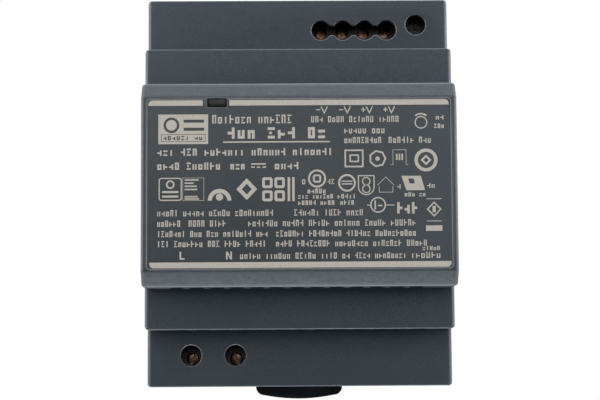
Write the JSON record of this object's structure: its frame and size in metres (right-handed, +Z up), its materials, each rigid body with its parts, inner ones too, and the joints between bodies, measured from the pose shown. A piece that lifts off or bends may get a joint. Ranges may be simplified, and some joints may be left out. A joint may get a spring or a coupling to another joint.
{
  "type": "din rail power supply",
  "caption": "Slim stepped power supply for a 35 mm rail, with screw clamps above and below, a voltage trimmer, a signal window and a sprung rail clip.",
  "frame": {"origin": "middle of the flat seat that rests on the front of the rail", "axes": "+X to the object's right as seen from the front, +Y back towards the rail, +Z up; the front faces -Y"},
  "size_m": [0.07, 0.0545, 0.0939],
  "materials": {
    "case_plastic": "fine spark-eroded texture, dark blue-grey",
    "label_film": "satin film with pale beige print",
    "smoked_window": "glossy smoked",
    "lamp_green": "translucent",
    "board_green": "solder mask",
    "terminal_plastic": "moulded, dark brown",
    "trimmer_plastic": "dull olive grey",
    "black_epoxy": "moulded",
    "green_ceramic": "dull lacquer",
    "blue_ceramic": "dull lacquer",
    "yellow_film": "moulded box",
    "ferrite": "matte dark grey",
    "copper_wire": "enamelled copper",
    "capacitor_sleeve": "shrink sleeve",
    "aluminium": "mill finish",
    "yellow_tape": "polyester tape",
    "clip_plastic": "moulded black",
    "spring_steel": "drawn wire",
    "screw_bronze": "bronze-coloured plating, worn",
    "plated_steel": "zinc plated",
    "contact_brass": "tin-flashed brass"
  },
  "bodies": {
    "housing": {"front_housing": "case_plastic", "rear_base": "case_plastic", "rating_label": "label_film", "light_pipe": "smoked_window", "status_led": "lamp_green", "main_board": "board_green", "control_board": "board_green", "input_terminal_block": "terminal_plastic", "output_terminal_block": "terminal_plastic", "trimmer_body": "trimmer_plastic", "fuse": "black_epoxy", "inrush_thermistor": "green_ceramic", "surge_varistor": "blue_ceramic", "x_capacitor": "yellow_film", "y_capacitor": "blue_ceramic", "choke_core": "ferrite", "choke_winding_1": "copper_wire", "choke_winding_2": "copper_wire", "bridge_rectifier": "black_epoxy", "bulk_capacitor_1": "capacitor_sleeve", "bulk_capacitor_2": "capacitor_sleeve", "power_transistor": "black_epoxy", "primary_heatsink": "aluminium", "transformer_core": "ferrite", "transformer_bobbin": "black_epoxy", "transformer_winding": "yellow_tape", "rectifier_diode": "black_epoxy", "secondary_heatsink": "aluminium", "output_capacitor_1": "capacitor_sleeve", "output_capacitor_2": "capacitor_sleeve", "output_capacitor_3": "capacitor_sleeve", "output_choke": "copper_wire", "optocoupler": "black_epoxy", "clip_spring": "spring_steel", "input_contact_1": "contact_brass", "input_contact_2": "contact_brass", "output_contact_1": "contact_brass", "output_contact_2": "contact_brass", "output_contact_3": "contact_brass", "output_contact_4": "contact_brass"},
    "clip": {"din_clip": "clip_plastic"},
    "trimmer": {"trimmer_rotor": "trimmer_plastic"},
    "output_screw_1_body": {"output_screw_1": "screw_bronze"},
    "output_clamp_1_body": {"output_clamp_1": "plated_steel"},
    "output_screw_2_body": {"output_screw_2": "screw_bronze"},
    "output_clamp_2_body": {"output_clamp_2": "plated_steel"},
    "output_screw_3_body": {"output_screw_3": "screw_bronze"},
    "output_clamp_3_body": {"output_clamp_3": "plated_steel"},
    "output_screw_4_body": {"output_screw_4": "screw_bronze"},
    "output_clamp_4_body": {"output_clamp_4": "plated_steel"},
    "input_screw_1_body": {"input_screw_1": "screw_bronze"},
    "input_clamp_1_body": {"input_clamp_1": "plated_steel"},
    "input_screw_2_body": {"input_screw_2": "screw_bronze"},
    "input_clamp_2_body": {"input_clamp_2": "plated_steel"}
  },
  "joints": [
    {"name": "clip_slide", "type": "slide", "parent": "housing", "child": "clip", "axis": [0, 0, -1], "range_m": [0, 0.005], "stiffness_N_per_m": 1400, "springref_m": -0.003, "deforming": ["clip_spring"]},
    {"name": "trimmer_turn", "type": "hinge", "parent": "housing", "child": "trimmer", "pos_m": [0.02757, -0.0235, 0.03905], "axis": [0, 1, 0], "range_deg": [-135, 135]},
    {"name": "output_screw_1_turn", "type": "hinge", "parent": "housing", "child": "output_screw_1_body", "pos_m": [0.00548, -0.0213, 0.0387], "axis": [0, 1, 0], "range_deg": [0, 1805]},
    {"name": "output_clamp_1_rise", "type": "slide", "parent": "housing", "child": "output_clamp_1_body", "axis": [0, -1, 0], "range_m": [0, 0.0025]},
    {"name": "output_screw_2_turn", "type": "hinge", "parent": "housing", "child": "output_screw_2_body", "pos_m": [0.01056, -0.0213, 0.0387], "axis": [0, 1, 0], "range_deg": [0, 1805]},
    {"name": "output_clamp_2_rise", "type": "slide", "parent": "housing", "child": "output_clamp_2_body", "axis": [0, -1, 0], "range_m": [0, 0.0025]},
    {"name": "output_screw_3_turn", "type": "hinge", "parent": "housing", "child": "output_screw_3_body", "pos_m": [0.01564, -0.0213, 0.0387], "axis": [0, 1, 0], "range_deg": [0, 1805]},
    {"name": "output_clamp_3_rise", "type": "slide", "parent": "housing", "child": "output_clamp_3_body", "axis": [0, -1, 0], "range_m": [0, 0.0025]},
    {"name": "output_screw_4_turn", "type": "hinge", "parent": "housing", "child": "output_screw_4_body", "pos_m": [0.02072, -0.0213, 0.0387], "axis": [0, 1, 0], "range_deg": [0, 1805]},
    {"name": "output_clamp_4_rise", "type": "slide", "parent": "housing", "child": "output_clamp_4_body", "axis": [0, -1, 0], "range_m": [0, 0.0025]},
    {"name": "input_screw_1_turn", "type": "hinge", "parent": "housing", "child": "input_screw_1_body", "pos_m": [-0.02497, -0.0213, -0.0387], "axis": [0, 1, 0], "range_deg": [0, 1805]},
    {"name": "input_clamp_1_rise", "type": "slide", "parent": "housing", "child": "input_clamp_1_body", "axis": [0, -1, 0], "range_m": [0, 0.0025]},
    {"name": "input_screw_2_turn", "type": "hinge", "parent": "housing", "child": "input_screw_2_body", "pos_m": [-0.01481, -0.0213, -0.0387], "axis": [0, 1, 0], "range_deg": [0, 1805]},
    {"name": "input_clamp_2_rise", "type": "slide", "parent": "housing", "child": "input_clamp_2_body", "axis": [0, -1, 0], "range_m": [0, 0.0025]}
  ],
  "couplings": [
    {"joint": "output_screw_1_turn", "follows": "output_clamp_1_rise", "rad_per_m": 12566},
    {"joint": "output_screw_2_turn", "follows": "output_clamp_2_rise", "rad_per_m": 12566},
    {"joint": "output_screw_3_turn", "follows": "output_clamp_3_rise", "rad_per_m": 12566},
    {"joint": "output_screw_4_turn", "follows": "output_clamp_4_rise", "rad_per_m": 12566},
    {"joint": "input_screw_1_turn", "follows": "input_clamp_1_rise", "rad_per_m": 12566},
    {"joint": "input_screw_2_turn", "follows": "input_clamp_2_rise", "rad_per_m": 12566}
  ]
}
